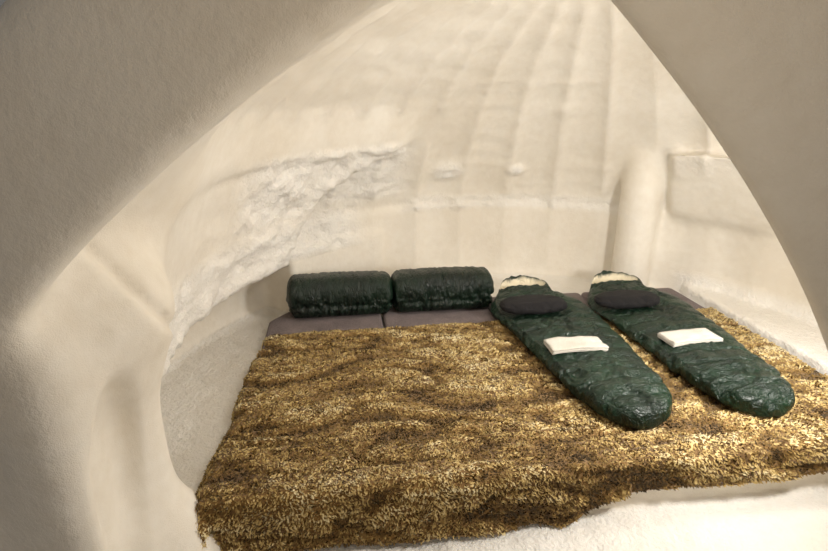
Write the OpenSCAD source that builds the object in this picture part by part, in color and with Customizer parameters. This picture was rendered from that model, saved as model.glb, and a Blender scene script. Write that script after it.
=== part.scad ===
// Packed-snow igloo with one sleeping room, cut flat at the front where the doorway arch opens.
// Millimetres. The origin is on the ground at the centre of the footprint, and the doorway faces -Y.

/* [Room and dome] */
// Radius of the room inside the lower wall
wall_in_r = 2040; // [1980:5:2070]
// Height of the ledge on top of the lower wall
ledge_z = 900; // [820:10:1000]
// Width of the ledge, from the lower wall to the ridges of the vault
ledge_w = 46; // [30:1:70]
// Height of the centre of the vault's curve above the ground
vault_z = 150; // [100:10:250]
// Thickness of the dome over the hollow of a gore
shell_t = 500; // [400:10:600]
// Number of gores round the whole vault
gore_n = 32; // [32]
// Depth of a gore behind the ridges beside it, at the ledge
gore_depth = 35; // [15:1:45]
// Radius of the crown cap, where the gores end
crown_r = 620; // [500:10:700]
// Depth of the hollow flutes in the lower wall
flute_depth = 28; // [10:1:40]
// Width of the sill under the flutes, at their ridges
flute_sill = 4; // [3:1:10]

/* [Front wall] */
// Distance from the dome's centre to the flat front face
front_out = 1300; // [1250:10:1400]
// Thickness of the front wall
front_t = 200; // [150:10:300]
// How far the front wall's round edge stands proud of the dome behind it
front_proud = 100; // [40:10:120]

/* [Doorway] */
// Sideways place of the top of the doorway from the dome's centre
door_top_x = -600; // [-700:10:-500]
// Height of the snow over the top of the doorway
over_door = 420; // [350:10:500]
// Width of the left pier at the ground
pier_left_w = 570; // [550:10:700]
// How far the left side of the arch, if it went on to the ground, would reach past the pier's edge
door_lean = 250; // [150:10:300]
// Width of the right pier at the ground
pier_right_w = 2080; // [2020:10:2200]
// Half the width of the doorway's blunt top
door_blunt = 40; // [20:5:80]
// How round the sides of the arch are
door_curve = 2.25; // [1.8:0.05:2.6]
// How much wider the doorway is at its inner face
door_splay = 0.17; // [0.05:0.01:0.2]

// Height above which the vault is opened wider behind the doorway
mouth_z = 1200; // [1100:10:1300]
// How far it is opened there beyond the vault's ridges
mouth_w = 300; // [200:10:320]
// How far back this mouth runs until it meets the vault
mouth_d = 400; // [300:10:440]

/* [Left jamb] */
// Radius of the front lobe of snow on the left jamb
lobe_r = 130; // [100:5:140]
// Height of the front lobe
lobe_front_h = 1250; // [1060:10:1300]
// Radius of the inner lobe's round head
lobe_head_r = 220; // [180:5:240]
// Radius of its waist
lobe_waist_r = 110; // [100:5:130]
// Height of the waist's lower end
lobe_waist_z0 = 450; // [400:10:500]
// Height of the waist's upper end
lobe_waist_z1 = 820; // [750:10:850]
// Radius of its foot on the floor
lobe_foot_r = 280; // [200:5:300]
// Height of the inner lobe
lobe_inner_h = 1380; // [1300:10:1400]

/* [Inside of the left wall] */
// Height of the lower edge of the overhanging snow on the left
overhang_z = 680; // [600:10:750]
// How far the wall under it is hollowed out
undercut_d = 300; // [200:10:350]
// Direction where this undercut begins at the back, counted from the right
undercut_a = 126; // [125:1:130]
// Angle that the undercut spans
undercut_span = 78; // [60:1:80]
// Height of its top
overhang_top = 1560; // [1300:10:1600]
// Thickness of the overhanging snow at its lower edge
overhang_t = 110; // [80:5:140]
// Angle that the overhang spans, forward from the niche's middle
overhang_a = 84; // [70:1:88]
// Radius of the arched niche under the overhang
niche_r = 1080; // [1000:10:1150]
// Height of the niche's centre
niche_z = 300; // [250:10:400]
// Direction of the niche from the dome's centre, counted from the right
niche_a = 118; // [112:1:124]

/* [Right side] */
// Direction of the pilaster from the dome's centre, counted from the right
pilaster_a = 59; // [56:1:61]
// Radius of the smooth pilaster at the back right
pilaster_r = 150; // [110:5:170]
// Height of the pilaster's round top
pilaster_h = 1600; // [1300:10:1650]
// Direction of the snow block's right end
block_a = 30; // [26:1:32]
// Angle that the block spans
block_span = 23; // [15:1:24]
// Thickness of the snow block set on the right wall
block_t = 95; // [60:5:120]
// Height of the snow block above the ledge
block_h = 520; // [400:10:600]
// Height of the snow shelf right of the bed, above the platform
shelf_h = 110; // [60:5:160]

/* [Floor and platform] */
// Thickness of the trodden snow floor
floor_t = 60; // [40:5:100]
// Height of the sleeping platform above the ground
platform_z = 250; // [200:10:400]
// Distance of the platform's front edge from the dome's centre
platform_front = 600; // [550:10:700]
// How far the bed is turned in the room
bed_turn = 8; // [0:1:10]

/* [Bed] */
// Left edge of the mattresses, from the dome's centre
bed_left = -1680; // [-1700:10:-1600]
// Width of one mattress
mattress_w = 795; // [700:5:800]
// Length of one mattress
mattress_l = 1960; // [1900:10:1970]
// Thickness of a mattress
mattress_t = 70; // [50:5:100]
// Gap between two mattresses
mattress_gap = 8; // [4:1:15]
// Thickness of a fur throw lying flat
fur_t = 25; // [15:1:40]
// Length of a fur throw on top of the bed, from front to back
fur_l = 1480; // [1300:10:1600]
// How far the left fur hangs down in front
fur_drop = 265; // [150:5:280]
// How far the other two hang down
fur_drop_right = 159; // [120:1:280]

// Where the left fur ends and the middle one begins, from the dome's centre
fur_seam_1 = 60; // [0:10:120]
// Where the right fur begins
fur_seam_2 = 500; // [450:10:560]
// Length of the part of the left fur that hangs over the bed's side
fur_side_l = 700; // [500:10:900]

/* [Bedding] */
// Length of a sleeping bag
bag_l = 1850; // [1800:10:2000]
// Width of a sleeping bag at the shoulders
bag_w = 720; // [650:10:725]
// Sideways place of the first bag's foot on the bed
bag_1_x = 225; // [200:5:260]
// Sideways place of the second bag's foot
bag_2_x = 870; // [860:5:900]
// Distance of both feet from the bed's front edge
bag_foot = 150; // [120:5:200]
// Turn of the first bag
bag_1_turn = -1.5; // [-3:0.5:0]
// Turn of the second bag
bag_2_turn = -5; // [-6:0.5:-3]
// Thickness of a filled sleeping bag
bag_t = 110; // [80:5:150]
// Length of a bag rolled up as a bolster
bolster_l = 700; // [600:10:720]
// Radius of a rolled bag
bolster_r = 160; // [120:5:170]
// How far the first rolled bag lies in from the bed's left edge
bolster_in = 180; // [170:5:200]
// Distance of both rolled bags behind the dome's centre
bolster_y = 1220; // [1150:5:1225]
// Length of a head pillow
pillow_l = 470; // [400:10:520]
// Depth of a head pillow
pillow_w = 250; // [200:10:300]
// Thickness of a head pillow
pillow_t = 85; // [60:5:110]
// Distance of the pillows' middles from the bed's front edge
pillow_y = 1400; // [1350:10:1450]
// Long side of a folded towel
towel_l = 330; // [280:5:380]
// Short side of a folded towel
towel_w = 150; // [120:5:200]
// Thickness of a folded towel
towel_t = 50; // [30:2:70]
// Distance of the towels' middles from the bed's front edge
towel_y = 815; // [750:5:900]

/* [Hidden] */
$fn = 240;
// Clearance of pieces that lie on or against each other
fit = 0.3;
// The crown cap's seat in the vault, which clears the flat facets of the gores
crown_gap = 0.5;
// A cut runs this far past the face that it opens
past = 50;
// The overhang's face would meet the vault this far above its top
overhang_feather = 60;
// The lumps lie this far in from the ledge's front edge
lump_in = 2;
// The front lobe's axis stands this many of its radii in front of the wall's end and beside the room's edge
lobe_in = 0.75;
lobe_out = 0.95;
// The inner lobe's axis stands this far in from the room's edge
lobe_proud = 40;
// The mattresses' corners, and the room they leave at the wall and behind the furs' front
mattress_edge_r = 30;
mattress_wall_gap = 10;
mattress_front_gap = 5;
// A rolled bag's end and its height over the mattress, as shares of its radius
bolster_end = 0.8;
bolster_rise = 0.86;
// The pillows and towels lie this far beside their bags' feet
pillow_1_off = -85;
pillow_2_off = -45;
towel_1_off = -65;
towel_2_off = 5;
// A pillow's round corners: at its middle, and how much smaller at its faces
pillow_r = 50;
pillow_face_r = 35;
snow = "#e6dccb";
shade_snow = "#d8ccb8";
fur = "#a37a3c";
bag_green = "#24402c";
// The ledge's outer edge is where the hollows of the gores begin
vault_r = norm([wall_in_r + ledge_w + gore_depth, ledge_z - vault_z]);
dome_out_r = vault_r + shell_t;
// The dome's centre lies behind the footprint's centre, because the front is cut off
dome_y = (front_out - dome_out_r) / 2;
gore_a = 360 / gore_n;
// Half the width of a gore at the ledge sets the radius of its hollow
gore_half_w = sqrt(vault_r * vault_r - pow(ledge_z - vault_z, 2)) * sin(gore_a / 2);
// Facets across one gore and rows up the vault
gore_steps = 4;
// Straight steps in each side of the doorway
door_steps = 14;
// The splay spreads from this point of the doorway
splay_x = -800;
splay_z = 1700;
// Flat strips that make up one flute of the wall
flute_steps = 5;
vault_rows = 8;
gore_r = (gore_half_w * gore_half_w + gore_depth * gore_depth) / (2 * gore_depth);
flute_half_w = wall_in_r * sin(gore_a / 2);
flute_r = (flute_half_w * flute_half_w + flute_depth * flute_depth) / (2 * flute_depth);
// Radius of the ridges of the vault, which everything set against it keeps inside of
ridge_r = vault_r - gore_depth;
front_in = front_out - front_t;
front_r = sqrt(dome_out_r * dome_out_r - front_in * front_in) + front_proud;
// The doorway's top and feet keep their distance from the front wall's round edge
door_top_z = sqrt(front_r * front_r - door_top_x * door_top_x) - over_door;
door_left_foot = front_r + door_top_x - pier_left_w;
door_left_w = door_left_foot + door_lean;
door_right_w = front_r - door_top_x - pier_right_w;
// The inner lobe's axis
lobe_y = -front_in + lobe_head_r;
lobe_x = lobe_proud - sqrt(wall_in_r * wall_in_r - lobe_y * lobe_y);
mattress_z = platform_z + fit;
fur_z = mattress_z + mattress_t + fit;
bed_top = fur_z + fur_t;
bed_w = 4 * mattress_w + 3 * mattress_gap;
bed_front = -platform_front;

// Puts a piece drawn round the dome's centre into the part's frame
module at_dome() {
    translate([0, dome_y, 0]) children();
}

// The same for what goes with the bed, which is turned a little in the room
module at_bed() {
    at_dome() rotate([0, 0, bed_turn]) children();
}

// A wedge of the dome from one angle to another, measured from +X
module sector(from_a, to_a, r = dome_out_r + past, z0 = -past, z1 = dome_out_r + past) {
    translate([0, 0, z0])
        rotate([0, 0, from_a])
            rotate_extrude(angle = to_a - from_a)
                square([r, z1 - z0]);
}

// The half space behind the front wall's inner face
module behind_front(y0 = -front_in) {
    translate([-dome_out_r - past, y0, -past])
        cube([2 * (dome_out_r + past), 2 * dome_out_r + past, dome_out_r + 2 * past]);
}

// How far a side of the doorway stands from its top at the height z, if it would reach w at the ground
function door_side(z, w) = door_blunt + (w - door_blunt) * (1 - pow(z / door_top_z, door_curve));

// The doorway's outline: two nearly straight sides that lean together to a blunt top
module door_outline(inset) {
    heights = [for (k = [0 : door_steps]) (door_top_z - inset) * k / door_steps];
    right = [for (z = heights) [door_top_x + door_side(z, door_right_w) - inset, z]];
    left = [for (k = [door_steps : -1 : 0])
        [door_top_x - min(door_side(heights[k], door_left_w), door_left_foot) + inset, heights[k]]];
    polygon(concat([[left[door_steps][0], -past], [right[0][0], -past]], right, left));
}

// The doorway cut through the front wall and past both its faces, splayed from the eye's line at its middle
module doorway(inset = 0) {
    outer = 1 - door_splay * past / front_t;
    inner = 1 + door_splay * (1 + past / front_t);
    translate([splay_x, -front_in + past, splay_z])
        rotate([90, 0, 0])
            linear_extrude(front_t + 2 * past, scale = outer / inner)
                scale(inner)
                    translate([-splay_x, -splay_z]) door_outline(inset);
}

// How far the vault's surface at half_w from the middle of a gore stands in front of the hollow's back
function gore_rise(half_w) = gore_r - sqrt(gore_r * gore_r - half_w * half_w);

// A point on the inside of the vault: a is the angle round the dome, s runs from the ledge to the crown
function vault_point(a, s) =
    let (off_mid = a - gore_a * (floor(a / gore_a) + 0.5),
         low = asin((ledge_z - vault_z) / vault_r),
         high = acos(crown_r / vault_r),
         half_w = vault_r * cos(low + (high - low) * s) * sin(off_mid),
         rho = vault_r - gore_rise(half_w),
         e = (1 - s) * asin((ledge_z - vault_z) / rho) + s * acos(crown_r / rho))
    [rho * cos(e) * cos(a), rho * cos(e) * sin(a), vault_z + rho * sin(e)];

// The point of the dome's outside that lies over it
function dome_point(a, s) =
    let (e = (1 - s) * asin(ledge_z / dome_out_r) + s * acos(crown_r / dome_out_r))
    [dome_out_r * cos(e) * cos(a), dome_out_r * cos(e) * sin(a), dome_out_r * sin(e)];

// One stretch of the vault between the ledge and the crown, lofted with its own gores
module vault_part(first, count) {
    cols = count * gore_steps;
    per_row = cols + 1;
    inner_count = per_row * (vault_rows + 1);
    inner = [for (j = [0 : vault_rows]) for (i = [0 : cols])
        vault_point(gore_a * (first + (i == cols ? count - 1e-9 : i / gore_steps)), j / vault_rows)];
    outer = [for (j = [0 : vault_rows]) for (i = [0 : cols])
        dome_point(gore_a * (first + i / gore_steps), j / vault_rows)];
    function at(i, j) = j * per_row + i;
    function over(i, j) = inner_count + at(i, j);
    faces = concat(
        [for (j = [0 : vault_rows - 1]) for (i = [0 : cols - 1])
            each [[at(i, j), at(i + 1, j + 1), at(i, j + 1)], [at(i, j), at(i + 1, j), at(i + 1, j + 1)]]],
        [for (j = [0 : vault_rows - 1]) for (i = [0 : cols - 1])
            each [[over(i, j), over(i, j + 1), over(i + 1, j + 1)],
                  [over(i, j), over(i + 1, j + 1), over(i + 1, j)]]],
        [for (i = [0 : cols - 1])
            each [[at(i, 0), over(i, 0), over(i + 1, 0)], [at(i, 0), over(i + 1, 0), at(i + 1, 0)]]],
        [for (i = [0 : cols - 1])
            each [[at(i, vault_rows), over(i + 1, vault_rows), over(i, vault_rows)],
                  [at(i, vault_rows), at(i + 1, vault_rows), over(i + 1, vault_rows)]]],
        [for (j = [0 : vault_rows - 1])
            each [[at(0, j), over(0, j + 1), over(0, j)], [at(0, j), at(0, j + 1), over(0, j + 1)]]],
        [for (j = [0 : vault_rows - 1])
            each [[at(cols, j), over(cols, j), over(cols, j + 1)],
                  [at(cols, j), over(cols, j + 1), at(cols, j + 1)]]]);
    color(snow) at_dome() polyhedron(points = concat(inner, outer), faces = faces);
}

// A point on the outline of the room above the platform, where the wall has upright hollow flutes
function flute_point(a) =
    let (off_mid = a - gore_a * (floor(a / gore_a) + 0.5),
         half_w = wall_in_r * sin(abs(off_mid)),
         rho = wall_in_r + flute_sill + flute_depth - flute_r + sqrt(flute_r * flute_r - half_w * half_w))
    [rho * cos(a), rho * sin(a)];

// The hollow that runs along the foot of the left wall, under the overhang
module left_undercut() {
    translate([0, 0, platform_z])
        rotate([0, 0, undercut_a])
            rotate_extrude(angle = undercut_span)
                square([wall_in_r + undercut_d, overhang_z - platform_z]);
}

// One stretch of the lower wall: the room's round below the platform's top, and its fluted outline above
module wall_part(first, count, fluted) {
    a0 = gore_a * first;
    a1 = gore_a * (first + count);
    cols = (count + 2) * flute_steps;
    color(snow)
        at_dome()
            difference() {
                intersection() {
                    sphere(r = dome_out_r);
                    sector(a0, a1, z0 = 0, z1 = ledge_z);
                    behind_front();
                }
                translate([0, 0, -past])
                    cylinder(r = wall_in_r, h = (fluted ? platform_z : ledge_z + past) + past);
                if (first >= 10) left_undercut();
                if (fluted)
                    translate([0, 0, platform_z])
                        linear_extrude(ledge_z)
                            polygon(concat([[0, 0]],
                                [for (i = [0 : cols])
                                    flute_point(a0 - gore_a + (i + 0.5) * gore_a / flute_steps)]));
            }
}

module wall_right() { wall_part(-4, 6, true); }
module wall_back_right() { wall_part(2, 4, true); }
module wall_back() { wall_part(6, 4, true); }
module wall_back_left() { wall_part(10, 4, true); }
module wall_left() { wall_part(14, 6, false); }

// The mouth of the vault: a cone that opens it towards the front wall, from the height z0 up
module vault_mouth(z0) {
    front_vault_r = sqrt(ridge_r * ridge_r - front_in * front_in);
    back_y = front_in - mouth_d;
    slope = (front_vault_r + mouth_w - sqrt(ridge_r * ridge_r - back_y * back_y)) / mouth_d;
    intersection() {
        translate([0, -front_in + mouth_d + past, vault_z])
            rotate([90, 0, 0])
                cylinder(r1 = front_vault_r + mouth_w - slope * (mouth_d + past),
                    r2 = front_vault_r + mouth_w + slope * past, h = mouth_d + 2 * past);
        translate([-dome_out_r, -dome_out_r, z0]) cube(2 * dome_out_r);
    }
}

// A stretch of the vault that ends at the front wall, opened by the mouth from the height z0 up
module vault_to_front(first, count, z0) {
    difference() {
        intersection() {
            vault_part(first, count);
            at_dome() behind_front();
        }
        at_dome() vault_mouth(z0);
    }
}

module vault_right() { vault_to_front(-3, 5, mouth_z); }
module vault_back_right() { vault_part(2, 4); }
module vault_back() { vault_part(6, 4); }
module vault_back_left() { vault_part(10, 4); }
module vault_left() { vault_to_front(14, 5, mouth_z); }
module vault_front_left() { vault_to_front(19, 5, 0); }
module vault_front_right() { vault_to_front(24, 5, 0); }

// The plain round top where the gores run out
module crown_cap() {
    color(snow)
        at_dome()
            difference() {
                intersection() {
                    sphere(r = dome_out_r);
                    translate([0, 0, ledge_z]) cylinder(r = crown_r - crown_gap, h = dome_out_r);
                }
                translate([0, 0, vault_z]) sphere(r = vault_r);
            }
}

// The upright front wall, with the doorway through it
module front_wall() {
    difference() {
        translate([0, -front_in, 0])
            rotate([90, 0, 0])
                intersection() {
                    cylinder(r = front_r, h = front_t);
                    translate([-2 * front_r, 0, -past]) cube([4 * front_r, 2 * front_r, front_t + 2 * past]);
                }
        doorway();
    }
}

// One quarter of the front wall: beside the doorway or over it, left or right of its middle
module front_part(left, over) {
    color(shade_snow)
        at_dome()
            intersection() {
                front_wall();
                translate([left ? door_top_x - 2 * dome_out_r : door_top_x, -dome_out_r, over ? ledge_z : -past])
                    cube([2 * dome_out_r, 2 * dome_out_r, over ? dome_out_r : ledge_z + past]);
            }
}

module front_pier_left() { front_part(true, false); }
module front_pier_right() { front_part(false, false); }
module front_haunch_left() { front_part(true, true); }
module front_haunch_right() { front_part(false, true); }

// The lobe that stands in the doorway, against the end of the left wall
module door_lobe_front() {
    x = -sqrt(wall_in_r * wall_in_r - front_in * front_in) - lobe_out * lobe_r;
    color(snow)
        at_dome()
            intersection() {
                translate([x, -front_in - fit - lobe_in * lobe_r, floor_t + fit]) {
                    cylinder(r = lobe_r, h = lobe_front_h - lobe_r - floor_t);
                    translate([0, 0, lobe_front_h - lobe_r - floor_t]) sphere(r = lobe_r);
                }
                translate([-dome_out_r, -front_out, 0]) cube([2 * dome_out_r, front_t - fit, dome_out_r]);
                doorway(fit);
            }
}

// The lobe that stands in the room against the left wall: a round head, a waist and a spreading foot
module door_lobe_inner() {
    foot_z = floor_t + fit;
    head_z = lobe_inner_h - lobe_head_r;
    color(snow)
        difference() {
            at_dome()
                intersection() {
                    translate([lobe_x, lobe_y, 0])
                        rotate_extrude()
                            union() {
                                polygon([[0, foot_z], [lobe_foot_r, foot_z], [lobe_waist_r, lobe_waist_z0],
                                         [lobe_waist_r, lobe_waist_z1], [lobe_head_r, head_z], [0, head_z]]);
                                intersection() {
                                    translate([0, head_z]) circle(r = lobe_head_r);
                                    translate([0, head_z]) square(lobe_head_r);
                                }
                            }
                    cylinder(r = wall_in_r - fit, h = dome_out_r);
                    translate([0, 0, vault_z]) sphere(r = ridge_r - fit);
                    behind_front(-front_in + fit);
                }
            // Its foot ends at the platform
            at_bed()
                translate([-dome_out_r, -platform_front - fit, 0])
                    cube([2 * dome_out_r, dome_out_r, platform_z + fit]);
        }
}

// Snow that overhangs the hollow foot of the left wall, with an arched niche cut under it at the back
module left_overhang() {
    inner = wall_in_r - overhang_t;
    // The face leans in to meet the vault at its top
    rise = overhang_top + overhang_feather - overhang_z;
    lean = inner - sqrt(ridge_r * ridge_r - pow(overhang_top + overhang_feather - vault_z, 2));
    lean_r = (rise * rise + lean * lean) / (2 * lean);
    color(shade_snow)
        at_dome()
            difference() {
                intersection() {
                    rotate([0, 0, niche_a])
                        rotate_extrude(angle = overhang_a)
                            difference() {
                                intersection() {
                                    translate([0, vault_z]) circle(r = ridge_r - fit);
                                    translate([wall_in_r / 2, overhang_z])
                                        square([wall_in_r, overhang_top - overhang_z]);
                                }
                                translate([inner - lean_r, overhang_z]) circle(r = lean_r);
                                translate([wall_in_r - fit, 0]) square([wall_in_r, ledge_z + fit]);
                            }
                    behind_front(-front_in + fit);
                }
                translate([0, 0, niche_z])
                    rotate([0, 90, niche_a])
                        cylinder(r = niche_r, h = dome_out_r);
                // It ends against the inner lobe
                translate([lobe_x, lobe_y, 0]) {
                    cylinder(r = lobe_head_r + fit, h = lobe_inner_h - lobe_head_r);
                    translate([0, 0, lobe_inner_h - lobe_head_r]) sphere(r = lobe_head_r + fit);
                }
            }
}

// The pilaster's axis, on the platform
module at_pilaster() {
    rotate([0, 0, pilaster_a]) translate([wall_in_r - pilaster_r / 2, 0, platform_z + fit]) children();
}

// The smooth upright rib of snow at the back right corner of the room
module right_pilaster() {
    color(snow)
        at_dome()
            intersection() {
                at_pilaster() {
                    cylinder(r = pilaster_r, h = pilaster_h - platform_z - pilaster_r);
                    translate([0, 0, pilaster_h - platform_z - pilaster_r]) sphere(r = pilaster_r);
                }
                cylinder(r = wall_in_r - fit, h = dome_out_r);
                translate([0, 0, vault_z]) sphere(r = ridge_r - fit);
            }
}

// A rough block of snow set on the ledge of the right wall
module right_snow_block() {
    color(shade_snow)
        at_dome()
            rotate([0, 0, block_a])
                rotate_extrude(angle = block_span)
                    difference() {
                        intersection() {
                            translate([0, vault_z]) circle(r = ridge_r - fit);
                            translate([wall_in_r / 2, ledge_z + fit])
                                square([wall_in_r, block_h]);
                        }
                        translate([0, vault_z]) circle(r = ridge_r - block_t);
                    }
}

// The raised snow right of the bed
module right_shelf() {
    color(snow)
        at_dome()
            intersection() {
                rotate([0, 0, bed_turn])
                    translate([bed_left + bed_w + 2 * fur_t, -platform_front, platform_z + fit])
                        cube([dome_out_r, dome_out_r * 2, shelf_h]);
                cylinder(r = wall_in_r - fit, h = ledge_z);
                behind_front(-front_in + fit);
            }
}

// Small lumps of snow left lying on the ledge at the back: which ridge each lies under, and its radius
module ledge_lumps() {
    lumps = [[7, 22], [8, 26], [9, 32], [10, 26]];
    color(snow)
        at_dome()
            for (l = lumps)
                rotate([0, 0, l[0] * gore_a])
                    translate([wall_in_r + flute_sill + lump_in, 0, ledge_z + fit])
                        intersection() {
                            sphere(r = l[1]);
                            translate([-l[1], -l[1], 0]) cube(2 * l[1]);
                        }
}

// The trodden floor inside the walls and through the doorway
module snow_floor() {
    door_left_x = door_top_x - door_left_foot + fit;
    door_w = door_left_foot + door_side(floor_t, door_right_w) - 2 * fit;
    color(shade_snow)
        at_dome()
            linear_extrude(floor_t)
                union() {
                    intersection() {
                        circle(r = wall_in_r - fit);
                        union() {
                            translate([-wall_in_r, -front_in + fit]) square([2 * wall_in_r, 2 * wall_in_r]);
                            translate([door_left_x, -front_out]) square([door_w, front_out]);
                        }
                    }
                    translate([door_left_x, -front_out]) square([door_w, front_t - fit]);
                }
}

// The bench of packed snow that fills the back of the room
module sleeping_platform() {
    color(snow)
        at_bed()
            intersection() {
                translate([0, 0, floor_t + fit]) cylinder(r = wall_in_r - fit, h = platform_z - floor_t - fit);
                behind_front(-platform_front);
            }
}

// One mattress, trimmed round where it meets the curved wall
module mattress(n) {
    r = mattress_edge_r;
    color("#6b5c58")
        difference() {
            at_bed()
                intersection() {
                    translate([bed_left + n * (mattress_w + mattress_gap), bed_front + mattress_front_gap,
                        mattress_z])
                        hull()
                            for (x = [r, mattress_w - r])
                                for (y = [r, mattress_l - r])
                                    translate([x, y, 0]) cylinder(r = r, h = mattress_t, $fn = 24);
                    cylinder(r = wall_in_r - mattress_wall_gap, h = ledge_z);
                }
            at_dome() at_pilaster() cylinder(r = pilaster_r + fit, h = ledge_z);
        }
}

module mattress_1() { mattress(0); }
module mattress_2() { mattress(1); }
module mattress_3() { mattress(2); }
module mattress_4() { mattress(3); }

// One fur, lying on the mattresses and hanging over the front edge
module fur_throw(x0, x1, drop) {
    color(fur)
        at_bed()
            translate([x0, 0, 0])
                rotate([90, 0, 90])
                    linear_extrude(x1 - x0)
                        union() {
                            translate([bed_front, fur_z]) square([fur_l, fur_t]);
                            translate([bed_front - fur_t - fit, bed_top - drop])
                                square([fur_t, drop - fur_t]);
                            intersection() {
                                translate([bed_front - fit, fur_z]) circle(r = fur_t);
                                translate([bed_front - fit - fur_t, fur_z]) square([fur_t + fit, fur_t]);
                            }
                        }
}

module fur_throw_left() {
    fur_throw(bed_left, fur_seam_1 - fit, fur_drop);
    // The side that hangs over the left edge of the bed
    color(fur)
        at_bed()
            translate([bed_left - fur_t - fit, bed_front - fur_t - fit, platform_z + fit])
                cube([fur_t + 2 * fit, fur_side_l, bed_top - platform_z - 2 * fit]);
}
module fur_throw_middle() { fur_throw(fur_seam_1, fur_seam_2 - fit, fur_drop_right); }
module fur_throw_right() { fur_throw(fur_seam_2, bed_left + bed_w, fur_drop_right); }

// A mummy sleeping bag laid flat: round foot, wide shoulders, narrower hood
module sleeping_bag(x, turn) {
    // Each station is its distance from the foot and its radius, as shares of the bag's length and width
    stations = [[0.115, 0.3], [0.21, 0.37], [0.45, 0.44], [0.72, 0.5], [0.89, 0.29]];
    color(bag_green)
        at_bed()
            translate([x, bed_front + bag_foot, bed_top + fit])
                rotate([0, 0, turn])
                    hull()
                        for (s = stations) {
                            translate([0, s[0] * bag_l, 0]) cylinder(r = s[1] * bag_w * 0.86, h = 1, $fn = 24);
                            translate([0, s[0] * bag_l, bag_t * 0.4])
                                cylinder(r = s[1] * bag_w, h = bag_t * 0.2, $fn = 24);
                            translate([0, s[0] * bag_l, bag_t - 1])
                                cylinder(r = s[1] * bag_w * 0.7, h = 1, $fn = 24);
                        }
}

module sleeping_bag_1() { sleeping_bag(bag_1_x, bag_1_turn); }
module sleeping_bag_2() { sleeping_bag(bag_2_x, bag_2_turn); }

// A sleeping bag rolled up and laid across the head of the bed, flattened where it lies
module bolster(x) {
    end = bolster_end * bolster_r;
    color(bag_green)
        at_bed()
            translate([x, bolster_y, mattress_z + mattress_t + fit])
                difference() {
                    translate([0, 0, bolster_rise * bolster_r])
                        rotate([0, 90, 0]) {
                            translate([0, 0, end]) cylinder(r = bolster_r, h = bolster_l - 2 * end);
                            translate([0, 0, end]) sphere(r = bolster_r);
                            translate([0, 0, bolster_l - end]) sphere(r = bolster_r);
                        }
                    translate([-bolster_l, -bolster_l, -bolster_l])
                        cube([3 * bolster_l, 2 * bolster_l, bolster_l]);
                }
}

module bolster_bag_1() { bolster(bed_left + bolster_in); }
module bolster_bag_2() { bolster(bed_left + bolster_in + bolster_l + 2 * (1 - bolster_end) * bolster_r + fit); }

// A small head pillow lying on the open hood
module pillow(place) {
    x = pillow_l / 2 - pillow_r;
    y = pillow_w / 2 - pillow_r;
    // Each layer is its radius and its height
    layers = [[pillow_face_r, 0], [pillow_r, pillow_t / 2], [pillow_face_r, pillow_t - 1]];
    color("#322c2e")
        at_bed()
            translate([place[0], place[1], bed_top + bag_t + 2 * fit])
                hull()
                    for (side = [-1, 1])
                        for (end = [-1, 1])
                            for (l = layers)
                                translate([side * x, end * y, l[1]]) cylinder(r = l[0], h = 1, $fn = 16);
}

module pillow_1() { pillow([bag_1_x + pillow_1_off, bed_front + pillow_y]); }
module pillow_2() { pillow([bag_2_x + pillow_2_off, bed_front + pillow_y]); }

// A towel folded in a flat packet, its folds rounded along one long side
module towel(place, turn) {
    color("#efe9df")
        at_bed()
            translate([place[0], place[1], bed_top + bag_t + 2 * fit])
                rotate([0, 0, turn])
                    union() {
                        translate([-towel_l / 2, -towel_w / 2, 0]) cube([towel_l, towel_w, towel_t]);
                        translate([-towel_l / 2, -towel_w / 2, towel_t / 2])
                            rotate([0, 90, 0]) cylinder(r = towel_t / 2, h = towel_l);
                    }
}

module towel_1() { towel([bag_1_x + towel_1_off, bed_front + towel_y], -1); }
module towel_2() { towel([bag_2_x + towel_2_off, bed_front + towel_y], 4); }

snow_floor();
sleeping_platform();
wall_right();
wall_back_right();
wall_back();
wall_back_left();
wall_left();
vault_right();
vault_back_right();
vault_back();
vault_back_left();
vault_left();
vault_front_left();
vault_front_right();
crown_cap();
front_pier_left();
front_pier_right();
front_haunch_left();
front_haunch_right();
door_lobe_front();
door_lobe_inner();
left_overhang();
right_pilaster();
right_snow_block();
right_shelf();
ledge_lumps();
mattress_1();
mattress_2();
mattress_3();
mattress_4();
fur_throw_left();
fur_throw_middle();
fur_throw_right();
sleeping_bag_1();
sleeping_bag_2();
bolster_bag_1();
bolster_bag_2();
pillow_1();
pillow_2();
towel_1();
towel_2();
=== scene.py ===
# The looks of the packed-snow igloo and its bed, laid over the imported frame.
# Metres. The doorway faces -Y, and the ground is z = 0.
import math
import bpy
import bmesh
import numpy as np
from mathutils import Matrix, Vector
from mathutils.bvhtree import BVHTree
from mathutils.interpolate import poly_3d_calc


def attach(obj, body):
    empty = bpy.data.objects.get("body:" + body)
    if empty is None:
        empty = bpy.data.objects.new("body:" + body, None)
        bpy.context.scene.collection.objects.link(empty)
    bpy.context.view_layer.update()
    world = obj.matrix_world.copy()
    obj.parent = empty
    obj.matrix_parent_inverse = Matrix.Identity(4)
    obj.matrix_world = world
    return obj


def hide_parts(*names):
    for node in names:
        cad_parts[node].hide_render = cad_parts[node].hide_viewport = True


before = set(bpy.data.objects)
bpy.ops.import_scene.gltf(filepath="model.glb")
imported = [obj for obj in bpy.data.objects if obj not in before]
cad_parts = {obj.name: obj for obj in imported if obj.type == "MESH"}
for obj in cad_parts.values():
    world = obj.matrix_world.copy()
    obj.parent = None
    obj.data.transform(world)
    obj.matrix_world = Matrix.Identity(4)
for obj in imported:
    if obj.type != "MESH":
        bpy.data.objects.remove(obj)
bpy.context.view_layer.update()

SCENE = bpy.context.scene
TURN = 2 * math.pi
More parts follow.
